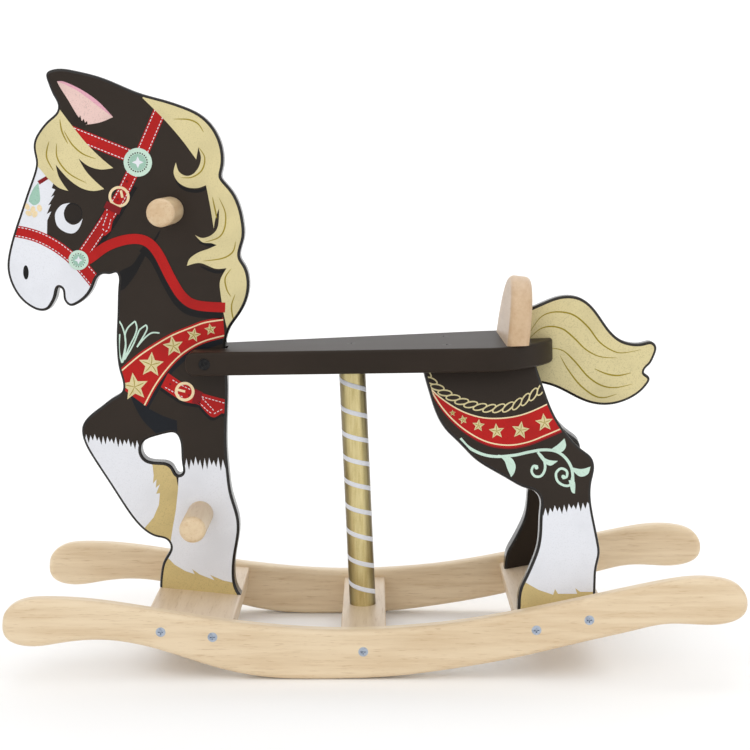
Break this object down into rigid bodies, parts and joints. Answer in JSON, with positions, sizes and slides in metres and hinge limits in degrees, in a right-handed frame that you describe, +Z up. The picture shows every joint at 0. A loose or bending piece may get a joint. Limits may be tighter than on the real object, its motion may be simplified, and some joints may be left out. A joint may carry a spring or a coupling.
{
  "type": "rocking horse",
  "caption": "Toddler's wooden rocking horse: cut-out horse boards on curved rockers, with a forked seat, backrest, centre pole and round hand and foot pegs.",
  "frame": {"origin": "on the floor, midway along the horse from the muzzle to the rear tips of the rockers, and midway between the rockers", "axes": "-X to the head, +X to the tail, -Y to the horse's left, +Z up"},
  "size_m": [0.7712, 0.26, 0.6224],
  "materials": {
    "brown_paint": "dark brown satin paint",
    "painted_panel": "dark brown board, printed and lacquered, with black eased edges",
    "painted_tail": "cream tail printed on a dark board, lacquered",
    "natural_wood": "clear lacquered pale wood",
    "gold_paint": "metallic gold paint with a white spiral band",
    "black_steel": "black finished steel",
    "zinc_steel": "bright zinc plate"
  },
  "bodies": {
    "root": {"rocker_left": "natural_wood", "rocker_right": "natural_wood", "front_cross_block": "natural_wood", "middle_cross_block": "natural_wood", "rear_cross_block": "natural_wood", "front_panel": "painted_panel", "seat_board": "brown_paint", "backrest": "natural_wood", "haunch_left": "painted_panel", "haunch_right": "painted_panel", "tail_board": "painted_tail", "rump_block": "brown_paint", "tail_pin": "natural_wood", "pole": "gold_paint", "hand_grip": "natural_wood", "foot_peg": "natural_wood", "fork_bolt": "black_steel", "fork_sleeve_nut": "black_steel", "rocker_screws": "zinc_steel", "panel_foot_screws": "zinc_steel", "pole_screws": "zinc_steel", "hoof_screws": "zinc_steel", "haunch_top_screws": "zinc_steel", "backrest_screws": "zinc_steel", "backrest_dowels": "natural_wood", "rump_block_screws": "zinc_steel"}
  },
  "joints": []
}
